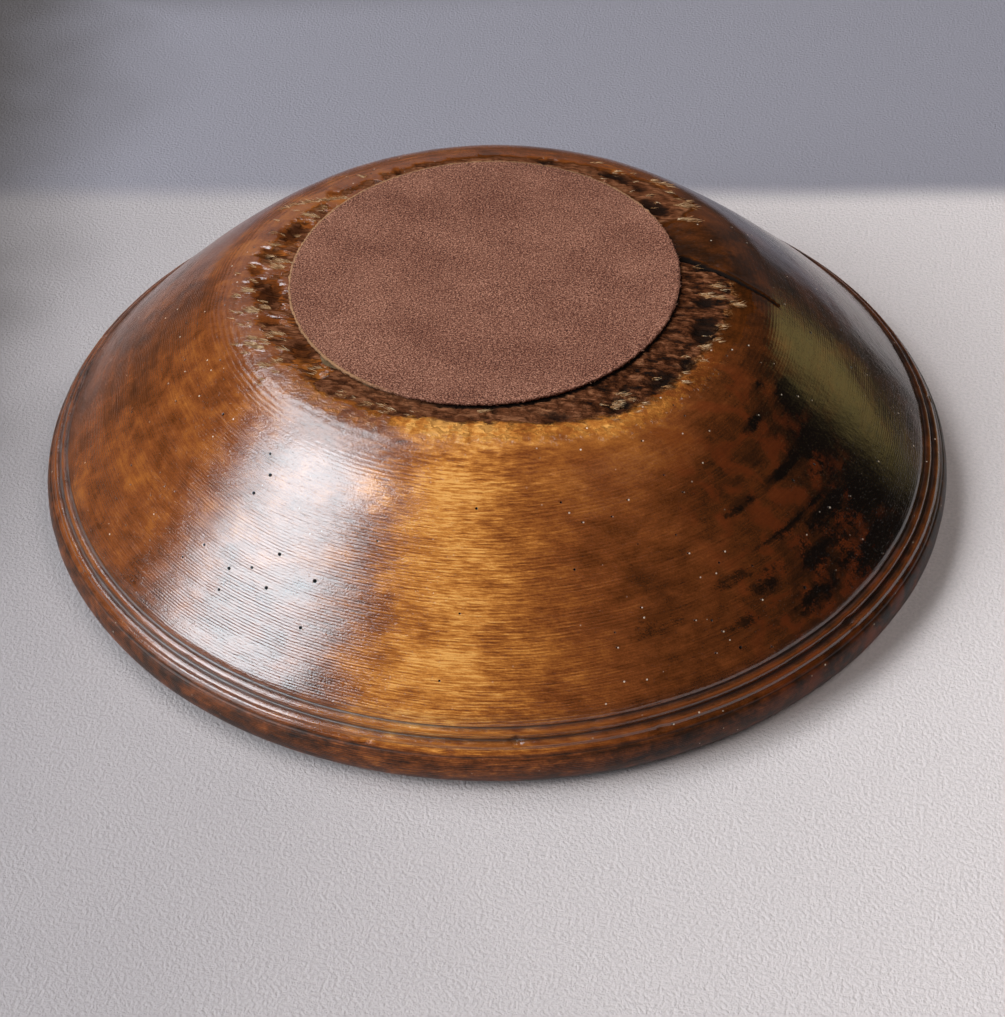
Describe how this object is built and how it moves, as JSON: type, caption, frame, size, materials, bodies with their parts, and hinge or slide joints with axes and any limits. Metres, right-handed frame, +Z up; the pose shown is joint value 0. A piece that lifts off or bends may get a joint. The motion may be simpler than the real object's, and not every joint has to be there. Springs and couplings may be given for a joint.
{
  "type": "dairy bowl",
  "caption": "Wide turned wooden dairy bowl, upside down on its rim, with a fat roll and reeds round the rim and a round felt pad glued to its foot.",
  "frame": {"origin": "middle of the rim, on the surface that the upturned bowl stands on", "axes": "+Z up from the rim to the foot, which is the bowl's base when it is turned over for use; +X along the grain of the wood, where the rim is widest"},
  "size_m": [0.4486, 0.425, 0.1105],
  "materials": {
    "wood": "old waxed sycamore, worn, satin with a soft gloss",
    "glue": "dried pale brown glue, satin",
    "felt": "brown wool felt, matt and slightly fuzzy"
  },
  "bodies": {
    "root": {"bowl": "wood", "felt_glue": "glue", "felt_pad": "felt"}
  },
  "joints": []
}
